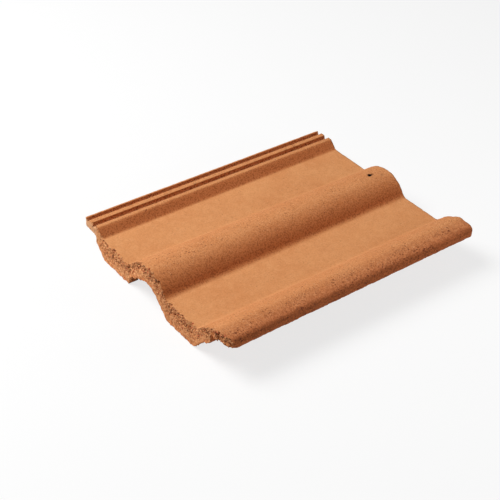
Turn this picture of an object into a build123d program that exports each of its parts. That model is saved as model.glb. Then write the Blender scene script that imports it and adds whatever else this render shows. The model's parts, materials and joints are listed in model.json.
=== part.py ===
# Interlocking double-roll roof tile, cast in one piece from through-coloured concrete.
# Millimetres. X runs across the tile from the underlock to the overlock, Y from the nose up to
# the head, Z up. The origin is on the floor under the middle of the tile.
import os
from math import radians, sin, tan

from build123d import *

# The whole tile
length = 420.0
width = 334.0
side_lap = 34.0
pan_wall = 12.0
foot_depth = 19.5

# Underlock: three ribs and two grooves, measured from the left edge and from the top of the pans
rib_1_right = 3.0
rib_2_left = 10.0
rib_2_right = 18.0
rib_3_left = 27.0
rib_3_right = 33.7
rib_1_top = 10.5
rib_2_top = 11.0
rib_3_top = 12.0
groove_floor = 5.0
groove_draft = 1.5
flange_under = -6.0
flange_flat = 22.0
flange_blend = 10.0
pan_1_left = 46.0
rib_round = 1.2
rib_foot_round = 6.0
under_edge_round = 2.0

# Centre roll
roll_width = 86.0
roll_height = 25.0
roll_left_slope = 43.5
roll_right_slope = 56.0
roll_wall = 14.0
roll_left_round = 51.0
roll_right_round = 42.0
roll_left_foot_round = 8.0
roll_right_foot_round = 10.0
roll_off_middle = 0.75
crown_flat = 0.1

# Overlock: half a roll with a lip and a down-standing rib that drops into the second groove
overlock_width = 67.5
overlock_slope = 45.0
overlock_knee = 15.0
overlock_crest_from_right = 29.0
overlock_crest = 28.8
overlock_edge = 26.0
overlock_wall = 14.0
overlock_knee_round = 25.0
overlock_foot_round = 7.0
overlock_crest_round = 20.0
overlock_edge_round = 9.0
lap_gap = 1.2
lap_corner_round = 1.0
channel_round = 4.0

# Nose: a deep apron that fits over the tile of the course below
apron_run = 16.0
apron_left = 52.0
apron_left_top = 32.0
apron_from_right = 38.0
arch_shoulder = -17.5
arch_draft = 4.5
arch_crown = -1.0
arch_crown_from_roll = 37.5
arch_crown_width = 19.0
arch_past_roll = 5.5
arch_round = 18.0
hood_past_overlock = 3.0
hood_knee_from_overlock = 12.5
hood_knee = -13.0
hood_end = -1.0
bevel_run = 1.0
bevel_drop = 3.0
lap_setback = 3.0
setback_from_right = 23.0
corner_round = 5.0

# Second weather bar behind the apron and nibs under the head
bar_back = 44.0
bar_width = 8.0
bar_depth = 8.0
nib_width = 44.0
nib_run = 18.0
nib_from_head = 28.0

# Nail hole through the crown of the centre roll
nail_diameter = 5.0
nail_from_roll = 42.0
nail_from_head = 31.5

# Levels and places that follow from the dimensions above
pan_rise = pan_wall + foot_depth
pan_under = -pan_wall
floor_level = -pan_rise
roll_left_angle = radians(roll_left_slope)
roll_right_angle = radians(roll_right_slope)
overlock_angle = radians(overlock_slope)
roll_under = roll_height - roll_wall
roof = overlock_crest - overlock_wall
lip_under = rib_3_top + lap_gap
tongue_low = groove_floor + lap_gap
draft_ratio = groove_draft / (rib_2_top - groove_floor)

# The two pans share what the underlock, the roll and the overlock leave of the width
cover_width = width - side_lap
overlock_left = width - overlock_width
roll_left = (pan_1_left + overlock_left - roll_width) / 2 - roll_off_middle
roll_right = roll_left + roll_width
apron_right = width - apron_from_right
arch_crown_left = roll_left + arch_crown_from_roll

# The crown of the roll is two arcs, limited by the room between the flanks and by each flank
roll_left_crown = roll_left + roll_height / tan(roll_left_angle)
roll_right_crown = roll_right - roll_height / tan(roll_right_angle)
left_tangent = roll_left_round * tan(roll_left_angle / 2)
right_tangent = roll_right_round * tan(roll_right_angle / 2)
crown_room = roll_right_crown - roll_left_crown - crown_flat
left_flank_room = roll_height / sin(roll_left_angle) - roll_left_foot_round * tan(roll_left_angle / 2)
right_flank_room = roll_height / sin(roll_right_angle) - roll_right_foot_round * tan(roll_right_angle / 2)
crown_fit = min(
    1,
    crown_room / (left_tangent + right_tangent),
    left_flank_room / left_tangent,
    right_flank_room / right_tangent,
)
left_round = roll_left_round * crown_fit
right_round = roll_right_round * crown_fit

# The hollow sides run parallel to the top flanks, one pan thickness inside them
hollow_left = roll_left + pan_wall * tan(roll_left_angle / 2)
hollow_right = roll_right - pan_wall * tan(roll_right_angle / 2)
hollow_left_crown = hollow_left + (roll_under - pan_under) / tan(roll_left_angle)
hollow_right_crown = hollow_right - (roll_under - pan_under) / tan(roll_right_angle)
channel_left = overlock_left + pan_wall * tan(overlock_angle / 2)
channel_left_roof = channel_left + (roof - pan_under) / tan(overlock_angle)


def tongue_left(level):
    """Left side of the down-standing rib, one lap gap inside the next tile's second groove."""
    return cover_width + rib_2_right + lap_gap + (rib_2_top - level) * draft_ratio


def tongue_right(level):
    """Right side of the down-standing rib at a level."""
    return cover_width + rib_3_left - lap_gap - (rib_2_top - level) * draft_ratio


# Outlines: how far from the left edge, how high above the pans, rounding of each corner
body_corners = [
    (0, flange_under, rib_round),
    (0, rib_1_top, rib_round),
    (rib_1_right, rib_1_top, rib_round),
    (rib_1_right + groove_draft, groove_floor, rib_round),
    (rib_2_left - groove_draft, groove_floor, 0),
    (rib_2_left, rib_2_top, rib_round),
    (rib_2_right, rib_2_top, rib_round),
    (rib_2_right + groove_draft, groove_floor, rib_round),
    (rib_3_left - groove_draft, groove_floor, rib_round),
    (rib_3_left, rib_3_top, rib_round),
    (rib_3_right, rib_3_top, rib_round),
    (pan_1_left, 0, rib_foot_round),
    (roll_left, 0, roll_left_foot_round),
    (roll_left_crown, roll_height, left_round),
    (roll_right_crown, roll_height, right_round),
    (roll_right, 0, roll_right_foot_round),
    (overlock_left, 0, overlock_foot_round),
    (overlock_left + overlock_knee / tan(overlock_angle), overlock_knee, overlock_knee_round),
    (width - overlock_crest_from_right, overlock_crest, overlock_crest_round),
    (width, overlock_edge, overlock_edge_round),
    (width, pan_under, 0),
    (flange_flat + flange_blend, pan_under, under_edge_round),
    (flange_flat, flange_under, under_edge_round),
]

# The apron hangs below the body at the nose
apron_corners = [
    (apron_left, floor_level, 0),
    (apron_left_top, pan_under, 0),
    (apron_right, pan_under, 0),
    (apron_right, floor_level, 0),
]

# Behind the apron: the hollow under the roll and the channel under the overlock
hollow_corners = [
    (hollow_left, pan_under, 0),
    (hollow_left_crown, roll_under, left_round - pan_wall),
    (hollow_right_crown, roll_under, right_round - pan_wall),
    (hollow_right, pan_under, 0),
]
channel_corners = [
    (channel_left, pan_under, 0),
    (channel_left_roof, roof, channel_round),
    (tongue_left(roof), roof, lap_corner_round),
    (tongue_left(tongue_low), tongue_low, lap_corner_round),
    (tongue_right(tongue_low), tongue_low, lap_corner_round),
    (tongue_right(lip_under), lip_under, lap_corner_round),
    (width, lip_under, 0),
    (width, pan_under, 0),
]

# Through the apron: an arch over the roll below and a hood over the overlock below
arch_corners = [
    (roll_left, floor_level, 0),
    (roll_left + arch_draft, arch_shoulder, 0),
    (arch_crown_left, arch_crown, arch_round),
    (arch_crown_left + arch_crown_width, arch_crown, arch_round),
    (roll_right + arch_past_roll, floor_level, 0),
]
hood_corners = [
    (overlock_left - hood_past_overlock, floor_level, 0),
    (overlock_left + hood_knee_from_overlock, hood_knee, 0),
    (apron_right, hood_end, 0),
    (apron_right, lip_under, 0),
    (width, lip_under, 0),
    (width, floor_level, 0),
]

head_plane = Plane(origin=(-width / 2, length / 2, pan_rise), x_dir=(1, 0, 0), z_dir=(0, -1, 0))
apron_plane = head_plane.offset(length - apron_run)
bevel_plane = head_plane.offset(length - bevel_run)
floor_plane = Plane(origin=(-width / 2, -length / 2, 0))


def outline(corners):
    """Closed outline through the corners, each with its own rounding."""
    points = [(across, level) for across, level, rounding in corners]
    roundings = [rounding for across, level, rounding in corners]
    return FilletPolyline(*points, radius=roundings, close=True)


with BuildPart() as roof_tile:
    # The body that runs the whole length, with the apron below it at the nose
    with BuildSketch(head_plane):
        with BuildLine():
            outline(body_corners)
        make_face()
    extrude(amount=length)
    with BuildSketch(apron_plane):
        with BuildLine():
            outline(apron_corners)
        make_face()
    extrude(amount=apron_run)

    # Both side laps stop a little short of the nose
    with BuildSketch(floor_plane):
        Rectangle(apron_left_top, lap_setback, align=(Align.MIN, Align.MIN))
        with Locations((width, 0)):
            Rectangle(setback_from_right, lap_setback, align=(Align.MAX, Align.MIN))
    extrude(amount=pan_rise + overlock_crest, mode=Mode.SUBTRACT)

    # The two free corners of the overlock are rounded in plan
    with BuildSketch(floor_plane):
        for corner_y, inward, side in ((lap_setback, 1, Align.MIN), (length, -1, Align.MAX)):
            with Locations((width, corner_y)):
                Rectangle(corner_round, corner_round, align=(Align.MAX, side))
            with Locations((width - corner_round, corner_y + inward * corner_round)):
                Circle(corner_round, mode=Mode.SUBTRACT)
    extrude(amount=pan_rise + overlock_crest, mode=Mode.SUBTRACT)

    # Bevel along the nose: what lies above the top outline is carried down and forward
    with BuildSketch(bevel_plane):
        with Locations((0, -bevel_drop)):
            Rectangle(width, pan_wall + overlock_crest + bevel_drop, align=(Align.MIN, Align.MIN))
        with BuildLine():
            outline(body_corners)
        make_face(mode=Mode.SUBTRACT)
    extrude(amount=bevel_run + bevel_drop, dir=(0, -bevel_run, -bevel_drop), mode=Mode.SUBTRACT)

    # Hollow and channel behind the apron, arch and hood through it
    for corners, plane, run in (
        (hollow_corners, head_plane, length - apron_run),
        (channel_corners, head_plane, length - apron_run),
        (hood_corners, apron_plane, apron_run),
        (arch_corners, apron_plane, apron_run),
    ):
        with BuildSketch(plane):
            with BuildLine():
                outline(corners)
            make_face()
        extrude(amount=run, mode=Mode.SUBTRACT)

    # Second weather bar under each pan
    with BuildSketch(floor_plane.offset(foot_depth - bar_depth)):
        for bar_left, bar_right in ((apron_left, hollow_left), (hollow_right, channel_left)):
            with Locations((bar_left, bar_back)):
                Rectangle(bar_right - bar_left, bar_width, align=(Align.MIN, Align.MIN))
    extrude(amount=bar_depth)

    # Two nibs that hook over the batten
    with BuildSketch(floor_plane):
        for pan_middle in ((pan_1_left + roll_left) / 2, (roll_right + overlock_left) / 2):
            with Locations((pan_middle, length - nib_from_head)):
                Rectangle(nib_width, nib_run, align=(Align.CENTER, Align.MIN))
    extrude(amount=foot_depth)

    # Nail hole
    nail_x = roll_left + nail_from_roll - width / 2
    with Locations((nail_x, length / 2 - nail_from_head, pan_rise + roll_height)):
        Hole(nail_diameter / 2)

roof_tile.part.label = "roof_tile"
os.makedirs("parts", exist_ok=True)
export_step(roof_tile.part, "parts/roof_tile.step")
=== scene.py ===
# %% [markdown]
# # A concrete roof tile
# This lesson dresses an interlocking roof tile that was pressed in one go from through-coloured concrete.
# The solid model is already packed, in metres, and it is the frame that everything here is fitted to.
# The tile lies with its nose towards -Y, its ribbed underlock along -X and its hooded overlock along +X.

# %% Load the frame
import json
import math

import bmesh
import bpy
from mathutils import Matrix, Vector


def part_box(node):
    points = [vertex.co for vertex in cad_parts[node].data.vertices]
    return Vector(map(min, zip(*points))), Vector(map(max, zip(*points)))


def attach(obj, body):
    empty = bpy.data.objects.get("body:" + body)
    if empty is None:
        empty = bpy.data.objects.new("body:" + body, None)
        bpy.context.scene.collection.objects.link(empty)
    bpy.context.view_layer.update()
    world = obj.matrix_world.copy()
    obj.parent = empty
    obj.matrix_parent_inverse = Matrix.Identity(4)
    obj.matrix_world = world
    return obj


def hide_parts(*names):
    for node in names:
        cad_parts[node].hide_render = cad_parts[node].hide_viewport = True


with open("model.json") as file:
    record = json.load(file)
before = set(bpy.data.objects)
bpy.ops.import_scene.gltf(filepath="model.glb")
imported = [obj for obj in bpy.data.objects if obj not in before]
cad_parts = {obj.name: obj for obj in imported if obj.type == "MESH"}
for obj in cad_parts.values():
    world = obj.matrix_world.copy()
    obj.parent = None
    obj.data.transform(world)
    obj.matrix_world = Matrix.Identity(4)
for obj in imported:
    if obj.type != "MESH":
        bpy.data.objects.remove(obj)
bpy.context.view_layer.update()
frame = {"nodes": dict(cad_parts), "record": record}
low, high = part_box("roof_tile")
MM = 0.001
print("tile measures", [round((b - a) / MM, 1) for a, b in zip(low, high)], "mm")

# %% [markdown]
# ## Three helpers
# Colours are written as they look on a screen, and one function turns them to the linear values that
# Blender computes with. A second one adds a node with its settings and links, for every tree below.
# The third makes the pattern that sand and cement are full of: soft spots of a real size.

# %% Helpers for colours, nodes and spots


def colour(code):
    """A screen colour such as D08A52 as linear red, green, blue and alpha."""
    channels = [int(code[i:i + 2], 16) / 255 for i in (0, 2, 4)]
    linear = [c / 12.92 if c <= 0.04045 else ((c + 0.055) / 1.055) ** 2.4 for c in channels]
    return (*linear, 1.0)


def add(tree, kind, inputs=None, **settings):
    """Adds a node, sets it, and fills its inputs or links them to sockets or other nodes."""
    node = tree.nodes.new(kind)
    for name, value in settings.items():
        setattr(node, name, value)
    for name, value in (inputs or {}).items():
        if isinstance(value, bpy.types.Node):
            value = next(output for output in value.outputs if output.enabled)
        if isinstance(value, bpy.types.NodeSocket):
            tree.links.new(value, node.inputs[name])
        else:
            node.inputs[name].default_value = value
    return node


def spots(tree, place, size, start, end, full=1.0, detail=2.0, seed=0.0):
    """Soft spots of a size in metres: none where the noise is under start, full where it is over end."""
    noise = add(
        tree,
        "ShaderNodeTexNoise",
        {"Vector": place, "W": seed, "Scale": 1 / size, "Detail": detail},
        noise_dimensions="4D",
    )
    return add(
        tree,
        "ShaderNodeMapRange",
        {"Value": noise, "From Min": start, "From Max": end, "To Max": full},
        interpolation_type="SMOOTHSTEP",
    )


print("a colour on screen and in light: D6945F", [round(c, 3) for c in colour("D6945F")])

# %% [markdown]
# ## The skin
# The shape of the tile is right in the solid, but its facets are long and few, so a torn edge or a grain
# of sand has nothing to bend. A voxel remesh would give even faces and melt the ribs. Here the flat facets
# are merged and then cut along a grid instead, which keeps every arris where the press left it.

# %% Merge the flat facets
FLAT = math.radians(0.3)
WELD = 0.5 * MM

skin_mesh = frame["nodes"]["roof_tile"].data.copy()
bm = bmesh.new()
bm.from_mesh(skin_mesh)
bmesh.ops.remove_doubles(bm, verts=bm.verts, dist=WELD)
bmesh.ops.dissolve_limit(bm, angle_limit=FLAT, verts=bm.verts, edges=bm.edges)
bm.normal_update()
print("merged to", len(bm.faces), "flat faces")

# %% [markdown]
# A plane is passed through the waiting faces at each place in turn. Only the part beyond the plane still
# waits for the next one, which keeps the work small. The rough nose gets the finest grid. The plain
# underside needs only a coarse one, but not none: shading and notes fade from corner to corner, and its
# faces would otherwise be as long as the tile. Cuts on both sides of the nail hole keep its shade there.

# %% Cut a grid into the skin
GRID = 2.2 * MM
NOSE_GRID = 1.1 * MM
NOSE_BAND = 14 * MM
SNAP = 0.33
UNDER_GRID = 6 * MM
BESIDE_NAIL = 5 * MM
LOOKS_FORWARD, LOOKS_DOWN = -0.5, -0.3
X, Y, Z = range(3)


def steps(start, end, pitch):
    """Evenly spaced places strictly between two ends, about one pitch apart."""
    count = round((end - start) / pitch)
    return [start + (end - start) * i / count for i in range(1, count)]


def cut(picked, axis, places, snap):
    """Cuts the picked faces with planes across an axis, from the lowest place up."""
    plane = Vector(int(i == axis) for i in range(3))
    waiting = {face for face in bm.faces if picked(face)}
    for place in places:
        crossed = [f for f in waiting if min(v.co[axis] for v in f.verts) < place]
        around = set(crossed)
        for face in crossed:
            around.update(face.edges, face.verts)
        made = bmesh.ops.bisect_plane(
            bm, geom=list(around), dist=snap, plane_co=plane * place, plane_no=plane
        )
        faces = [f for f in made["geom"] if isinstance(f, bmesh.types.BMFace)]
        waiting.difference_update(crossed)
        waiting.update(f for f in faces if max(v.co[axis] for v in f.verts) > place + snap)


def is_nose(face):
    """The cut face at the nose, with its bevel."""
    return face.normal.y < LOOKS_FORWARD and face.calc_center_median().y < low.y + NOSE_BAND


def is_weathered(face):
    """A face that looks up, out to a side or out of the head."""
    return face.normal.z > LOOKS_DOWN and not is_nose(face)


def is_under(face):
    """A face of the plain underside."""
    return not is_nose(face) and not is_weathered(face)


nail = next(m for m in frame["record"]["mounts"] if m["name"] == "nail_hole")
nail_at, nail_radius = Vector(nail["pos_m"]), nail["dims"]["r_mm"] * MM
beside = [nail_at.y - BESIDE_NAIL, nail_at.y + BESIDE_NAIL]
band_end = low.y + NOSE_BAND
along = steps(low.y, band_end, NOSE_GRID) + [band_end] + steps(band_end, high.y, GRID)
cut(is_nose, X, steps(low.x, high.x, NOSE_GRID), SNAP * NOSE_GRID)
cut(is_nose, Z, steps(low.z, high.z, NOSE_GRID), SNAP * NOSE_GRID)
cut(is_weathered, X, steps(low.x, high.x, GRID), SNAP * GRID)
cut(is_weathered, Z, steps(low.z, high.z, GRID), SNAP * GRID)
cut(is_weathered, Y, along, SNAP * NOSE_GRID)
cut(is_under, X, steps(low.x, high.x, UNDER_GRID), SNAP * GRID)
cut(is_under, Y, sorted(beside + steps(low.y, high.y, UNDER_GRID)), SNAP * NOSE_GRID)
print("gridded to", len(bm.faces), "faces,", sum(len(f.verts) - 2 for f in bm.faces), "triangles")

# %% [markdown]
# The arcs of the rolls are still rows of narrow flats. Every corner that no sharp edge touches is eased
# towards its neighbours a few times, which turns those flats into a true curve. The sharp ones are kept,
# and how sharp each is goes into an attribute, because arrises are where handling wears a tile.

# %% Ease the arcs and note the arrises
SHARP = math.radians(35)
RIGHT_ANGLE = math.radians(90)
EASINGS, EASE = 6, 0.5

arris = bm.verts.layers.float.new("arris")
for edge in bm.edges:
    turn = edge.calc_face_angle_signed(0) / RIGHT_ANGLE
    for vert in edge.verts:
        vert[arris] = max(vert[arris], min(1, turn))
soft = [v for v in bm.verts if all(e.calc_face_angle(0) < SHARP for e in v.link_edges)]
for _ in range(EASINGS):
    bmesh.ops.smooth_vert(
        bm, verts=soft, factor=EASE, use_axis_x=True, use_axis_y=False, use_axis_z=True
    )
print("eased", len(soft), "of", len(bm.verts), "corners")

# %% [markdown]
# At the nose it matters how far a point lies behind the cut, below the top outline and above the bottom
# one, since the knife tore the upper part of the face and left the lower part smooth. These distances are
# noted too, column by column across the tile.

# %% Note the distances at the nose
FAR = 1.0

notes = {name: bm.verts.layers.float.new(name) for name in ("behind_cut", "below_top", "above_foot")}
nose_verts = {v for f in bm.faces if is_nose(f) for v in f.verts}
columns = {}
for vert in nose_verts:
    columns.setdefault(round(vert.co.x / NOSE_GRID), []).append(vert.co)
for vert in bm.verts:
    column = columns.get(round(vert.co.x / NOSE_GRID))
    near = column is not None and vert.co.y < band_end
    vert[notes["behind_cut"]] = vert.co.y - min(c.y for c in column) if near else FAR
    vert[notes["below_top"]] = max(c.z for c in column) - vert.co.z if vert in nose_verts else 0
    vert[notes["above_foot"]] = vert.co.z - min(c.z for c in column) if vert in nose_verts else FAR
print("nose has", len(nose_verts), "corners in", len(columns), "columns")

# %% [markdown]
# The nail hole is rough and unlit inside, and bits of its rim have been knocked off. The corners of the
# tile are knocked as well. A chip could be cut out with a boolean, but a small dent looks more like worn
# concrete: each point near its middle goes in along its own normal. The unlit hole gets painted shade, dark
# at its rim and a little round it and darker with depth, and what is dark at the chips is noted too.

# %% Note the nail hole and knock the chips
NAIL_EDGE = 1.0 * MM
HOLE_SHADE = 3 * MM
CHIPS = (
    # middle, radius, depth, darkness
    (Vector((-12.3, 183.2, 56.4)) * MM, 3.2 * MM, 0.7 * MM, 0.7),
    (Vector((-11.0, 176.6, 56.4)) * MM, 2.2 * MM, 0.6 * MM, 1.0),
    (Vector((-3.4, 194.9, 56.0)) * MM, 3.0 * MM, 0.7 * MM, 0.4),
    (Vector((164.0, -206.0, 55.0)) * MM, 6.0 * MM, 1.6 * MM, 0.1),
    (Vector((166.0, -203.5, 44.5)) * MM, 8.0 * MM, 2.6 * MM, 0.0),
    (Vector((-166.0, 209.0, 41.0)) * MM, 5.0 * MM, 0.5 * MM, 0.0),
)
RIM_SHADE = 0.8
DARK_CORE = 0.5

# Painted shade for the unlit nail hole: dark at the rim and a little round it, darker with depth.
shade_in_hole = bm.verts.layers.float.new("shade_in_hole")
chipped = bm.verts.layers.float.new("chipped")
inside = [v for v in bm.verts if (v.co - nail_at).xy.length < nail_radius + NAIL_EDGE]
rim = max(v.co.z for v in inside)
for vert in inside:
    vert[shade_in_hole] = min(1, RIM_SHADE + (rim - vert.co.z) / HOLE_SHADE)
bm.normal_update()
for middle, radius, depth, darkness in CHIPS:
    for vert in bm.verts:
        reach = 1 - (vert.co - middle).length / radius
        if reach > 0:
            vert[chipped] = darkness * min(1, reach / DARK_CORE)
            vert.co -= vert.normal * depth * reach
print("nail hole has", len(inside), "corners, and", len(CHIPS), "chips are knocked off")

# %% [markdown]
# The finished mesh gets an object of its own at the origin. The solid it came from is left untouched, and
# will be hidden when the skin takes its place.

# %% Make the skin an object
bm.to_mesh(skin_mesh)
bm.free()
skin = bpy.data.objects.new("tile_skin", skin_mesh)
bpy.context.scene.collection.objects.link(skin)
print("skin has", len(skin_mesh.vertices), "corners")

# %% [markdown]
# ## Wear and tear
# The ribbon of wet concrete is chopped into tiles with a knife. The knife drags sand out of the upper part
# of the nose, so the top arris is broken away unevenly and the face below it is full of pits. A Geometry
# Nodes tree follows the noted attributes and only ever moves the skin into the tile.

# %% Start the wear tree and name its sizes
WEAR = {
    "Break depth": 2.6 * MM,
    "Crumble depth": 1.6 * MM,
    "Pit depth": 1.2 * MM,
    "Torn height": 23.0 * MM,
    "Uneven depth": 1.0 * MM,
    "Ragged depth": 2.2 * MM,
    "Arris wear": 0.5 * MM,
    "Grain depth": 0.35 * MM,
    "Seed": 7.0,
}
wear = bpy.data.node_groups.new("wear_and_tear", "GeometryNodeTree")
wear.interface.new_socket("Geometry", in_out="INPUT", socket_type="NodeSocketGeometry")
wear.interface.new_socket("Geometry", in_out="OUTPUT", socket_type="NodeSocketGeometry")
wear_sockets = {
    name: wear.interface.new_socket(name, in_out="INPUT", socket_type="NodeSocketFloat").identifier
    for name in WEAR
}
given = add(wear, "NodeGroupInput").outputs
place = add(wear, "GeometryNodeInputPosition")
facing = add(wear, "GeometryNodeInputNormal")
xyz = add(wear, "ShaderNodeSeparateXYZ", {0: place}).outputs
noted = {
    name: add(wear, "GeometryNodeInputNamedAttribute", {"Name": name}, data_type="FLOAT")
    for name in ("arris", *notes)
}
print("wear sizes", {name: round(value / MM, 2) for name, value in WEAR.items() if name != "Seed"})

# %% [markdown]
# How deep the cut reaches at each column and height is one sum: long breaks and short crumbles along the
# top arris, pits that get rarer downwards and come in patches, and a slight unevenness all over. A point
# that lies in front of that depth is pushed back to it, so the pan's edge is eaten away with the face and
# nothing folds over. The thin flange of the underlock, on the left, was cut cleanly and is hardly torn.

# %% Tear the nose
WHOLLY_TORN = 7 * MM
CLEAN_UNTIL, TORN_FROM = -145 * MM, -112 * MM
CLEAN_SHARE = 0.15
PIT_SIZE = 3.2 * MM
PIT_DETAIL = 2.0
PIT_SLOPE = 0.05
RARE_PITS, MANY_PITS = 0.70, 0.525

on_cut = add(wear, "ShaderNodeCombineXYZ", {"X": xyz["X"], "Z": xyz["Z"]})
across = add(wear, "ShaderNodeCombineXYZ", {"X": xyz["X"]})
seed = given["Seed"]
torn_band = add(
    wear,
    "ShaderNodeMapRange",
    {
        "Value": noted["below_top"],
        "From Min": WHOLLY_TORN,
        "From Max": given["Torn height"],
        "To Min": 1.0,
        "To Max": 0.0,
    },
    interpolation_type="SMOOTHSTEP",
)
flange = add(
    wear,
    "ShaderNodeMapRange",
    {"Value": xyz["X"], "From Min": CLEAN_UNTIL, "From Max": TORN_FROM, "To Min": CLEAN_SHARE},
)
torn_band = add(wear, "ShaderNodeMath", {0: torn_band, 1: flange}, operation="MULTIPLY")
breaks = spots(
    wear, across, size=16 * MM, start=0.42, end=0.62, full=given["Break depth"], detail=3.0, seed=seed
)
crumbles = spots(
    wear, on_cut, size=5 * MM, start=0.4, end=0.62, full=given["Crumble depth"], seed=seed
)
patchy = spots(wear, on_cut, size=13 * MM, start=0.32, end=0.54, detail=1.0, seed=seed)
uneven = spots(
    wear, on_cut, size=6 * MM, start=0.3, end=0.7, full=given["Uneven depth"], detail=3.0, seed=seed
)
arris_loss = add(wear, "ShaderNodeMath", {0: breaks, 1: crumbles}, operation="ADD")
arris_loss = add(wear, "ShaderNodeMath", {0: arris_loss, 1: torn_band}, operation="MULTIPLY")
tear = add(wear, "ShaderNodeMath", {0: patchy, 1: torn_band}, operation="MULTIPLY")
pit_start = add(wear, "ShaderNodeMapRange", {"Value": tear, "To Min": RARE_PITS, "To Max": MANY_PITS})
pit_end = add(wear, "ShaderNodeMath", {0: pit_start, 1: PIT_SLOPE}, operation="ADD")
pits = spots(wear, on_cut, PIT_SIZE, pit_start, pit_end, given["Pit depth"], PIT_DETAIL, seed)
depth = add(wear, "ShaderNodeMath", {0: pits, 1: arris_loss}, operation="ADD")
depth = add(wear, "ShaderNodeMath", {0: depth, 1: uneven}, operation="ADD")
push = add(wear, "ShaderNodeMath", {0: depth, 1: noted["behind_cut"]}, operation="SUBTRACT")
pushed = add(wear, "ShaderNodeMath", {0: push, 1: 0.0}, operation="MAXIMUM")
print("nose torn by", len(wear.nodes), "nodes so far")

# %% [markdown]
# The material has to know where the knife has been, so three attributes are stored: the cut face itself,
# how torn it is there, and how far each point leans to the right, away from the lamp, for painted shade.

# %% Store what the knife left
JUST_BEHIND = -0.2 * MM

cut_face = add(wear, "ShaderNodeMath", {0: push, 1: JUST_BEHIND}, operation="GREATER_THAN")
cut_face = add(wear, "ShaderNodeMath", {0: cut_face, 1: flange}, operation="MULTIPLY")
tear = add(wear, "ShaderNodeMath", {0: tear, 1: cut_face}, operation="MULTIPLY")
kept = given["Geometry"]
lean = add(wear, "ShaderNodeSeparateXYZ", {0: facing}).outputs["X"]
for name, value in (("cut_face", cut_face), ("tear", tear), ("lean", lean)):
    kept = add(wear, "GeometryNodeStoreNamedAttribute", {"Geometry": kept, "Name": name, "Value": value})
print("stored attributes for the cut face")

# %% [markdown]
# The lower edge of the nose is frayed upwards, by up to a couple of millimetres. Every other arris is only
# rubbed, here more and there less, and the rolls keep the shallow hills of a sandy surface that the roller
# has not closed. Rubs and hills go along the normal, into the tile.

# %% Fray the lower edge, rub the arrises and roughen the rolls
PAN_TOP = 31.5 * MM
ROLL_FOOT, ROLL_TOP = PAN_TOP + 3 * MM, PAN_TOP + 14 * MM
PAN_RELIEF = 0.15
FRAY = 4 * MM

foot = add(
    wear,
    "ShaderNodeMapRange",
    {"Value": noted["above_foot"], "From Max": FRAY, "To Min": 1.0, "To Max": 0.0},
)
ragged = spots(
    wear, across, size=7 * MM, start=0.38, end=0.64, full=given["Ragged depth"], detail=4.0, seed=seed
)
ragged = add(wear, "ShaderNodeMath", {0: ragged, 1: foot}, operation="MULTIPLY")
nose_shift = add(wear, "ShaderNodeCombineXYZ", {"Y": pushed, "Z": ragged})
worn = spots(
    wear, place, size=7 * MM, start=0.4, end=0.7, full=given["Arris wear"], detail=3.0, seed=seed
)
worn = add(wear, "ShaderNodeMath", {0: worn, 1: noted["arris"]}, operation="MULTIPLY")
raised = add(
    wear,
    "ShaderNodeMapRange",
    {"Value": xyz["Z"], "From Min": ROLL_FOOT, "From Max": ROLL_TOP, "To Min": PAN_RELIEF},
)
sandy = spots(
    wear, place, size=4.5 * MM, start=0.4, end=0.7, full=given["Grain depth"], detail=3.0, seed=seed
)
inward = add(wear, "ShaderNodeMath", {0: sandy, 1: raised, 2: worn}, operation="MULTIPLY_ADD")
inward = add(wear, "ShaderNodeMath", {0: inward, 1: -1.0}, operation="MULTIPLY")
worn_shift = add(wear, "ShaderNodeVectorMath", {0: facing, "Scale": inward}, operation="SCALE")
shift = add(wear, "ShaderNodeVectorMath", {0: nose_shift, 1: worn_shift}, operation="ADD")
moved = add(wear, "GeometryNodeSetPosition", {"Geometry": kept, "Offset": shift})
print("wear tree has", len(wear.nodes), "nodes")

# %% [markdown]
# ## Through-coloured pressed concrete
# Iron oxide pigment is mixed into sand and cement, so the tile is the same tan orange all through. To the
# eye that is a matt, sandy surface with a faint cloudiness from damp and lime. The roller presses the pans
# smooth and leaves the rolls more open and redder, most of all the outer edge of the overlock, which it
# hardly reaches. Pale dust lies in the grooves of the underlock. All of this follows from the place on the
# tile, so Object coordinates drive it, and nothing has to be unwrapped.

# %% Start the concrete and its patterns
GRAIN_FROM, GRAIN_TO = PAN_TOP + MM, PAN_TOP + 12 * MM
PAN_GRAIN, ROLL_GRAIN = 0.32, 0.8
OUTER_FROM, OUTER_TO = 138 * MM, 161 * MM
OUTER_SHARE = 0.5
REDDER_SHARE = 0.12
DUST_FULL, DUST_GONE = PAN_TOP + 5 * MM, PAN_TOP + 10 * MM
DUST_SHARE = 0.6
GROOVES_END = -138 * MM

concrete = bpy.data.materials.new("through_coloured_pressed_concrete")
concrete.use_nodes = True
tree = concrete.node_tree
tree.nodes.clear()
where = add(tree, "ShaderNodeTexCoord").outputs["Object"]
spot = add(tree, "ShaderNodeSeparateXYZ", {0: where}).outputs
rolled = add(
    tree,
    "ShaderNodeMapRange",
    {
        "Value": spot["Z"],
        "From Min": GRAIN_FROM,
        "From Max": GRAIN_TO,
        "To Min": PAN_GRAIN,
        "To Max": ROLL_GRAIN,
    },
)
outer = add(
    tree,
    "ShaderNodeMapRange",
    {"Value": spot["X"], "From Min": OUTER_FROM, "From Max": OUTER_TO, "To Max": OUTER_SHARE},
)
redder = add(
    tree,
    "ShaderNodeMapRange",
    {"Value": spot["Z"], "From Min": ROLL_FOOT, "From Max": ROLL_TOP, "To Max": REDDER_SHARE},
)
open_grain = add(tree, "ShaderNodeMath", {0: rolled, 1: outer}, operation="ADD")
low_down = add(
    tree,
    "ShaderNodeMapRange",
    {
        "Value": spot["Z"],
        "From Min": DUST_FULL,
        "From Max": DUST_GONE,
        "To Min": DUST_SHARE,
        "To Max": 0.0,
    },
)
in_grooves = add(tree, "ShaderNodeMath", {0: spot["X"], 1: GROOVES_END}, operation="LESS_THAN")
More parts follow.
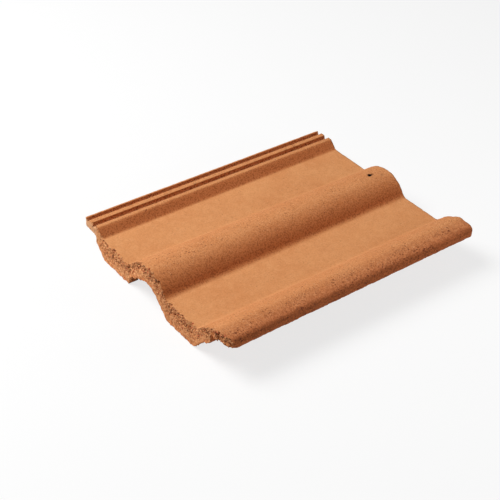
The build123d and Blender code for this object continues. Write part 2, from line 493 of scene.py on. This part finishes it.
dust = add(tree, "ShaderNodeMath", {0: low_down, 1: in_grooves}, operation="MULTIPLY")
clouds = spots(tree, where, size=55 * MM, start=0.3, end=0.7, detail=4.0)
mottle = spots(tree, where, size=9 * MM, start=0.4, end=0.65, full=0.3, detail=3.0)
print("open grain grows with height and towards the outer edge")

# %% [markdown]
# Real sand is under a millimetre, finer than a pixel of the picture, so its grains are drawn about twice as
# coarse here. Air leaves pores, which come in clusters, and the outer edge has more of them, with blotches
# where the paste is thin.

# %% Sand grains and pores
DARK_GRAIN, LIGHT_GRAIN = 1.8 * MM, 2.0 * MM
PORE, BLOTCH = 2.4 * MM, 4.5 * MM
RARE_PORES, MANY_PORES = 0.61, 0.575
PORE_SLOPE = 0.05
PORE_SEED = 9.0

dark_grain = spots(tree, where, DARK_GRAIN, start=0.4, end=0.75, full=0.85, detail=3.0)
dark_grain = add(
    tree, "ShaderNodeMath", {0: dark_grain, 1: open_grain}, operation="MULTIPLY", use_clamp=True
)
light_grain = spots(tree, where, LIGHT_GRAIN, start=0.52, end=0.75, full=0.85, seed=5.0)
light_grain = add(
    tree, "ShaderNodeMath", {0: light_grain, 1: open_grain}, operation="MULTIPLY", use_clamp=True
)
clusters = spots(tree, where, size=24 * MM, start=0.4, end=0.6, seed=PORE_SEED)
pore_start = add(
    tree,
    "ShaderNodeMapRange",
    {"Value": outer, "From Max": OUTER_SHARE, "To Min": RARE_PORES, "To Max": MANY_PORES},
)
pore_end = add(tree, "ShaderNodeMath", {0: pore_start, 1: PORE_SLOPE}, operation="ADD")
pores = spots(tree, where, PORE, pore_start, pore_end, full=clusters, detail=3.0, seed=PORE_SEED)
pores = add(tree, "ShaderNodeMath", {0: pores, 1: open_grain}, operation="MULTIPLY", use_clamp=True)
blotches = spots(tree, where, BLOTCH, start=0.45, end=0.62, full=outer, detail=4.0, seed=29.0)
drawn = (DARK_GRAIN, LIGHT_GRAIN, PORE, BLOTCH)
print("two grains, a pore and a blotch of", [round(width / MM, 1) for width in drawn], "mm")

# %% [markdown]
# The skin brings its notes along as attributes. The pits are worked out once more from the same noise, size
# and seed that made their shape, because a pixel of colour can be finer than a corner of the mesh. Their
# dark colour is partly a darker fresh fracture and partly painted shade in the hollows. Sides that lean to
# the right, away from the lamp, get painted shade: they are painted darker and redder, with dark specks
# over it.

# %% Read the notes of the skin
# Painted shade on sides that lean to the right, away from the lamp.
LEAN_FROM, LEAN_TO = 0.1, 0.9
RIGHT_SHADE_SHARE = 0.93

cut_share, tear_share, above_foot, chip_share, painted_hole_shade, lean_share = (
    add(tree, "ShaderNodeAttribute", attribute_name=name).outputs["Fac"]
    for name in ("cut_face", "tear", "above_foot", "chipped", "shade_in_hole", "lean")
)
on_cut = add(tree, "ShaderNodeCombineXYZ", {"X": spot["X"], "Z": spot["Z"]})
pit_start = add(
    tree, "ShaderNodeMapRange", {"Value": tear_share, "To Min": RARE_PITS, "To Max": MANY_PITS}
)
pit_end = add(tree, "ShaderNodeMath", {0: pit_start, 1: PIT_SLOPE}, operation="ADD")
# The pits' colour: partly a darker fresh fracture, partly painted shade in the hollows.
pit_tone_and_shade = spots(tree, on_cut, PIT_SIZE, pit_start, pit_end, cut_share, PIT_DETAIL, WEAR["Seed"])
right_painted_shade = add(
    tree,
    "ShaderNodeMapRange",
    {"Value": lean_share, "From Min": LEAN_FROM, "From Max": LEAN_TO, "To Max": RIGHT_SHADE_SHARE},
)
# Dark specks only inside the painted shade on right-leaning sides, which darken it further.
specks_in_shade = spots(tree, where, size=2.2 * MM, start=0.5, end=0.6, full=right_painted_shade, seed=33.0)
print("the concrete reads what was noted of the cut, its foot, the chips, the hole and the lean")

# %% [markdown]
# The cut nose is fresh inside: a brighter orange, full of grains and clumps, with darker specks where sand
# was dragged out and rusty spots of pigment that was not mixed in. The foot, which the knife only smeared,
# keeps the strongest orange, and the face gets browner towards the right.

# %% Colour the cut face
FACTOR, FIRST, SECOND = 0, 6, 7
BROWN_FROM, BROWN_TO = -30 * MM, 50 * MM
BROWN_SHARE = 0.27
SMEARED_HEIGHT = 9 * MM
SMEARED_SHARE = 0.45

shaded = add(
    tree,
    "ShaderNodeMapRange",
    {"Value": spot["X"], "From Min": BROWN_FROM, "From Max": BROWN_TO, "To Max": BROWN_SHARE},
)
smeared = add(
    tree,
    "ShaderNodeMapRange",
    {"Value": above_foot, "From Max": SMEARED_HEIGHT, "To Min": SMEARED_SHARE, "To Max": 0.0},
)
fresh_grain = spots(tree, where, size=3.6 * MM, start=0.42, end=0.66, detail=3.0, seed=13.0)
rust_spots = spots(tree, where, size=3.4 * MM, start=0.62, end=0.66, full=0.9, seed=17.0)
clumps = spots(tree, where, size=7.0 * MM, start=0.42, end=0.62, full=0.5, detail=3.0, seed=25.0)
dragged = spots(tree, where, size=2.4 * MM, start=0.54, end=0.6, full=0.9, seed=21.0)
dragged = add(tree, "ShaderNodeMath", {0: dragged, 1: tear_share}, operation="MULTIPLY")
cut_body = colour("ECAA74")
for amount, layer in (
    (fresh_grain, "AC683C"),
    (clumps, "B5703F"),
    (shaded, "A05F38"),
    (smeared, "E08243"),
    (rust_spots, "B04A30"),
    (dragged, "884522"),
):
    cut_body = add(
        tree, "ShaderNodeMix", {FACTOR: amount, FIRST: cut_body, SECOND: colour(layer)}, data_type="RGBA"
    )
print("cut face coloured")

# %% [markdown]
# The whole tile is one pile of layers, from the pale body up to the almost black painted shade of the nail
# hole. Each layer mixes its colour over the ones below by its own share.

# %% Layer the colours
body = colour("D6945F")
for amount, layer in (
    (clouds, colour("CF8B57")),
    (mottle, colour("DEA06C")),
    (redder, colour("D06B30")),
    (light_grain, colour("E6AE7C")),
    # Painted shade: right-leaning sides, away from the lamp, darker and redder.
    (right_painted_shade, colour("BC6531")),
    (outer, colour("B8623A")),
    (blotches, colour("98522E")),
    (dust, colour("E0B48C")),
    (dark_grain, colour("9E5830")),
    # Dark specks over the painted shade on right-leaning sides.
    (specks_in_shade, colour("945028")),
    (pores, colour("783C22")),
    (cut_share, cut_body),
    # Pits: a darker fracture colour and painted shade together.
    (pit_tone_and_shade, colour("803E1C")),
    (chip_share, colour("5A2E1A")),
    # Painted shade: the unlit nail hole, almost black.
    (painted_hole_shade, colour("1E120B")),
):
    body = add(tree, "ShaderNodeMix", {FACTOR: amount, FIRST: body, SECOND: layer}, data_type="RGBA")
print("colours layered with", len(tree.nodes), "nodes so far")

# %% [markdown]
# Dry concrete has hardly any gloss, so its roughness is high and its specular level low. The grain is too
# fine to model, and gets a bump of a third of a millimetre.

# %% Finish the concrete
GRAIN_BUMP = 0.35 * MM
PORE_BUMP = -2.5

relief = add(tree, "ShaderNodeMath", {0: pores, 1: PORE_BUMP}, operation="MULTIPLY")
relief = add(tree, "ShaderNodeMath", {0: relief, 1: dark_grain}, operation="SUBTRACT")
bump = add(tree, "ShaderNodeBump", {"Height": relief, "Distance": GRAIN_BUMP, "Strength": 0.7})
shader = add(
    tree,
    "ShaderNodeBsdfPrincipled",
    {"Base Color": body, "Roughness": 0.93, "IOR": 1.5, "Specular IOR Level": 0.2, "Normal": bump},
)
add(tree, "ShaderNodeOutputMaterial", {"Surface": shader})
print("concrete has", len(tree.nodes), "nodes")

# %% [markdown]
# The tree is now closed with its material, put on the skin and turned into a plain mesh.

# %% Wear the skin
CREASE = math.radians(50)

finished = add(wear, "GeometryNodeRealizeInstances", {0: moved})
finished = add(wear, "GeometryNodeSetMaterial", {"Geometry": finished, "Material": concrete})
add(wear, "NodeGroupOutput", {0: finished})
modifier = skin.modifiers.new("wear", "NODES")
modifier.node_group = wear
for name, value in WEAR.items():
    modifier[wear_sockets[name]] = value
worn_mesh = bpy.data.meshes.new_from_object(skin.evaluated_get(bpy.context.evaluated_depsgraph_get()))
skin.modifiers.remove(modifier)
skin.data = worn_mesh
worn_mesh.polygons.foreach_set("use_smooth", [True] * len(worn_mesh.polygons))
worn_mesh.set_sharp_from_angle(angle=CREASE)
print("skin worn,", len(worn_mesh.polygons), "faces")

# %% [markdown]
# ## Grit in the torn face
# The knife also leaves grains of sand standing in the torn face. They could be modelled one by one, but a
# scatter on the cut face gives over a thousand at once. Each point gets a random size and a random number
# that will pick its colour.

# %% Start the grit tree and drop its points
GRIT = {"Grains per square metre": 130000.0, "Smallest grain": 0.45 * MM, "Largest grain": 1.4 * MM}
GRIT_SEED = 11
LEAST, MOST = 2, 3

scatter = bpy.data.node_groups.new("grit_scatter", "GeometryNodeTree")
scatter.interface.new_socket("Geometry", in_out="INPUT", socket_type="NodeSocketGeometry")
scatter.interface.new_socket("Geometry", in_out="OUTPUT", socket_type="NodeSocketGeometry")
grit_sockets = {
    name: scatter.interface.new_socket(name, in_out="INPUT", socket_type="NodeSocketFloat").identifier
    for name in GRIT
}
given = add(scatter, "NodeGroupInput").outputs
on_face = add(scatter, "GeometryNodeInputNamedAttribute", {"Name": "cut_face"}, data_type="FLOAT")
density = add(
    scatter, "ShaderNodeMath", {0: on_face, 1: given["Grains per square metre"]}, operation="MULTIPLY"
)
points = add(
    scatter,
    "GeometryNodeDistributePointsOnFaces",
    {"Mesh": given["Geometry"], "Density": density, "Seed": GRIT_SEED},
)
size = add(
    scatter,
    "FunctionNodeRandomValue",
    {LEAST: given["Smallest grain"], MOST: given["Largest grain"], "Seed": GRIT_SEED + 1},
)
tint = add(scatter, "FunctionNodeRandomValue", {"Seed": GRIT_SEED + 2})
for name, value in (("grain_size", size), ("grain_tint", tint)):
    points = add(
        scatter, "GeometryNodeStoreNamedAttribute", {"Geometry": points, "Name": name, "Value": value}
    )
print("grit tree names", list(GRIT))

# %% [markdown]
# A coarse ball is put at each point, half sunk, turned and squeezed at random. A grain at the very edge is
# first drawn in by its own size, so that none stands out of the tile.

# %% Keep the grains inside the tile and set a ball on each point
SQUASH, STRETCH = 0.7, 1.25

size = add(scatter, "GeometryNodeInputNamedAttribute", {"Name": "grain_size"}, data_type="FLOAT")
room = add(scatter, "ShaderNodeMath", {0: size, 1: STRETCH}, operation="MULTIPLY")
room = add(scatter, "ShaderNodeCombineXYZ", {"X": room, "Y": room, "Z": room})
lowest = add(scatter, "ShaderNodeVectorMath", {0: low, 1: room}, operation="ADD")
highest = add(scatter, "ShaderNodeVectorMath", {0: high, 1: room}, operation="SUBTRACT")
held = add(scatter, "GeometryNodeInputPosition")
held = add(scatter, "ShaderNodeVectorMath", {0: held, 1: lowest}, operation="MAXIMUM")
held = add(scatter, "ShaderNodeVectorMath", {0: held, 1: highest}, operation="MINIMUM")
points = add(scatter, "GeometryNodeSetPosition", {"Geometry": points, "Position": held})
ball = add(scatter, "GeometryNodeMeshIcoSphere", {"Radius": 1.0, "Subdivisions": 1})
turn = add(
    scatter,
    "FunctionNodeRandomValue",
    {"Max": (2 * math.pi,) * 3, "Seed": GRIT_SEED + 3},
    data_type="FLOAT_VECTOR",
)
squeeze = add(
    scatter,
    "FunctionNodeRandomValue",
    {"Min": (SQUASH,) * 3, "Max": (STRETCH,) * 3, "Seed": GRIT_SEED + 4},
    data_type="FLOAT_VECTOR",
)
squeeze = add(scatter, "ShaderNodeVectorMath", {0: squeeze, "Scale": size}, operation="SCALE")
grains = add(
    scatter,
    "GeometryNodeInstanceOnPoints",
    {"Points": points, "Instance": ball, "Rotation": turn, "Scale": squeeze},
)
print("grit tree has", len(scatter.nodes), "nodes")

# %% [markdown]
# Sand for concrete is crushed or dug, so its grains differ: tan, pale, brown, and some rusty from the
# pigment. Each grain got a random number above, and steps of that number pick its colour. Cement paste
# clings to the grains, so they are only a little smoother than the concrete round them.

# %% Pigmented quartz sand
sand = bpy.data.materials.new("pigmented_quartz_sand")
sand.use_nodes = True
tree = sand.node_tree
tree.nodes.clear()
tint = add(tree, "ShaderNodeAttribute", attribute_name="grain_tint").outputs["Fac"]
where = add(tree, "ShaderNodeTexCoord").outputs["Object"]
grain = colour("C98554")
for start, layer in ((0.3, "D99B68"), (0.62, "B87848"), (0.84, "7E4A2E"), (0.93, "B24F2E")):
    past = add(tree, "ShaderNodeMath", {0: tint, 1: start}, operation="GREATER_THAN")
    grain = add(
        tree, "ShaderNodeMix", {FACTOR: past, FIRST: grain, SECOND: colour(layer)}, data_type="RGBA"
    )
dusty = spots(tree, where, size=1.2 * MM, start=0.45, end=0.65, full=0.5)
grain = add(
    tree, "ShaderNodeMix", {FACTOR: dusty, FIRST: grain, SECOND: colour("CE8A58")}, data_type="RGBA"
)
shader = add(
    tree,
    "ShaderNodeBsdfPrincipled",
    {"Base Color": grain, "Roughness": 0.8, "IOR": 1.54, "Specular IOR Level": 0.3},
)
add(tree, "ShaderNodeOutputMaterial", {"Surface": shader})
print("sand has", len(tree.nodes), "nodes")

# %% [markdown]
# The scatter runs on the worn mesh, and what comes out is a plain mesh of grains, with no tile in it.

# %% Scatter the grit
finished = add(scatter, "GeometryNodeRealizeInstances", {0: grains})
finished = add(scatter, "GeometryNodeSetMaterial", {"Geometry": finished, "Material": sand})
add(scatter, "NodeGroupOutput", {0: finished})
grit = bpy.data.objects.new("nose_grit", worn_mesh)
bpy.context.scene.collection.objects.link(grit)
modifier = grit.modifiers.new("grit", "NODES")
modifier.node_group = scatter
for name, value in GRIT.items():
    modifier[grit_sockets[name]] = value
grit_mesh = bpy.data.meshes.new_from_object(grit.evaluated_get(bpy.context.evaluated_depsgraph_get()))
grit.modifiers.remove(modifier)
grit.data = grit_mesh
print("grit has", len(grit_mesh.polygons), "faces")

# %% [markdown]
# ## One tile again
# Both pieces ride on the tile's only body. The skin stands for the solid.

# %% Fit the pieces to the frame
for piece in (skin, grit):
    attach(piece, "root")
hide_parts("roof_tile")
print("pieces", [piece.name for piece in (skin, grit)])

# %% [markdown]
# ## The camera
# The tile is seen from over its nose, from the right, with a long lens that hardly tapers it. The camera
# is also tilted by a few degrees, as a hand-held one is. Its three directions are worked out from three
# angles, because that is easier to read than a matrix.

# %% Camera
EYE = (0.9512, -0.8309, 0.9624)
YAW, PITCH, ROLL = (math.radians(a) for a in (50.54, 37.32, 3.5))
SENSOR, LENS = 36, 81.76

camera_data = bpy.data.cameras.new("camera")
camera_data.sensor_width = SENSOR
camera_data.lens = LENS
camera = bpy.data.objects.new("camera", camera_data)
bpy.context.scene.collection.objects.link(camera)
forward = Vector((-math.sin(YAW) * math.cos(PITCH), math.cos(YAW) * math.cos(PITCH), -math.sin(PITCH)))
level = Vector((math.cos(YAW), math.sin(YAW), 0))
above = level.cross(forward)
right = level * math.cos(ROLL) + above * math.sin(ROLL)
up = above * math.cos(ROLL) - level * math.sin(ROLL)
camera.matrix_world = Matrix.Translation(EYE) @ Matrix((right, up, -forward)).transposed().to_4x4()
bpy.context.scene.camera = camera
print("camera stands", round(Vector(EYE).length, 2), "m away")

# %% [markdown]
# ## The light
# A studio is pale all round, and its walls fill the shade a little. The world does that here. Rays from the
# camera see it as plain white, and so do reflections, which makes the background without more light.

# %% World
FILL = 0.07


def seen_share(tree):
    """One for a ray from the camera, a reflection or glass, and none for light on its way to a surface."""
    rays = add(tree, "ShaderNodeLightPath").outputs
    seen = add(
        tree, "ShaderNodeMath", {0: rays["Is Camera Ray"], 1: rays["Is Glossy Ray"]}, operation="MAXIMUM"
    )
    return add(tree, "ShaderNodeMath", {0: seen, 1: rays["Is Transmission Ray"]}, operation="MAXIMUM")


world = bpy.data.worlds.new("studio")
bpy.context.scene.world = world
world.use_nodes = True
sky = world.node_tree
sky.nodes.clear()
strength = add(sky, "ShaderNodeMapRange", {"Value": seen_share(sky), "To Min": FILL, "To Max": 1.0})
backdrop = add(sky, "ShaderNodeBackground", {"Color": colour("FFFFFF"), "Strength": strength})
add(sky, "ShaderNodeOutputWorld", {0: backdrop})
print("world fills with", FILL)

# %% [markdown]
# One large lamp hangs over the left of the nose. Being large, it gives soft edges to the shade on the far
# side of each roll, and its power brings a flat pan to about the colour that is written for it.

# %% Lamp
LAMP_WAY = Vector((-0.52, -0.5, 1.0)).normalized()
LAMP_DISTANCE = 2.3
LAMP_SIZE = 1.3
LAMP_WATTS = 61

lamp_data = bpy.data.lights.new("lamp", "AREA")
lamp_data.energy = LAMP_WATTS
lamp_data.size = LAMP_SIZE
lamp = bpy.data.objects.new("lamp", lamp_data)
bpy.context.scene.collection.objects.link(lamp)
lamp.location = LAMP_WAY * LAMP_DISTANCE
lamp.rotation_euler = LAMP_WAY.to_track_quat("Z", "Y").to_euler()
print("lamp hangs at", [round(c, 2) for c in lamp.location])

# %% [markdown]
# The shade is softer towards the head, as if a pale card stood beyond it on the right. A second, weak lamp
# does what such a card does: it reaches the sides that the first one leaves dark.

# %% Reflector
CARD_AT = Vector((0.8, 0.7, 0.35))
CARD_LIGHTS = Vector((0.05, 0.15, 0.03))
CARD_SIZE = 0.4
CARD_WATTS = 2.8

card_data = bpy.data.lights.new("reflector", "AREA")
card_data.energy = CARD_WATTS
card_data.size = CARD_SIZE
card = bpy.data.objects.new("reflector", card_data)
bpy.context.scene.collection.objects.link(card)
card.location = CARD_AT
card.rotation_euler = (CARD_AT - CARD_LIGHTS).to_track_quat("Z", "Y").to_euler()
print("reflector stands", round((CARD_AT - CARD_LIGHTS).length, 2), "m from the head")

# %% [markdown]
# ## The floor
# The tile lies on white paper. To look as white as the backdrop, the paper shines a little for the camera
# and in reflections, as the world does. That doesn't light up the matt tile, and it keeps the shadow.

# %% Floor
HALF_FLOOR = 4.0
GLOW = 0.75

corners = [(x * HALF_FLOOR, y * HALF_FLOOR, 0) for x, y in ((-1, -1), (1, -1), (1, 1), (-1, 1))]
floor_mesh = bpy.data.meshes.new("floor")
floor_mesh.from_pydata(corners, [], [(0, 1, 2, 3)])
floor = bpy.data.objects.new("floor", floor_mesh)
bpy.context.scene.collection.objects.link(floor)
paper = bpy.data.materials.new("white_backdrop_paper")
paper.use_nodes = True
sheet = paper.node_tree
sheet.nodes.clear()
glowing = add(sheet, "ShaderNodeMath", {0: seen_share(sheet), 1: GLOW}, operation="MULTIPLY")
matt = add(sheet, "ShaderNodeBsdfDiffuse", {"Color": colour("F4F4F4")})
glow = add(sheet, "ShaderNodeEmission", {"Color": colour("FFFFFF"), "Strength": 1.0})
both = add(sheet, "ShaderNodeMixShader", {0: glowing, 1: matt, 2: glow})
add(sheet, "ShaderNodeOutputMaterial", {"Surface": both})
floor_mesh.materials.append(paper)
print("floor laid")

# %% [markdown]
# ## Finish
# Colours are shown as they are, without a film look.

# %% Colours as they are
bpy.context.scene.view_settings.view_transform = "Standard"
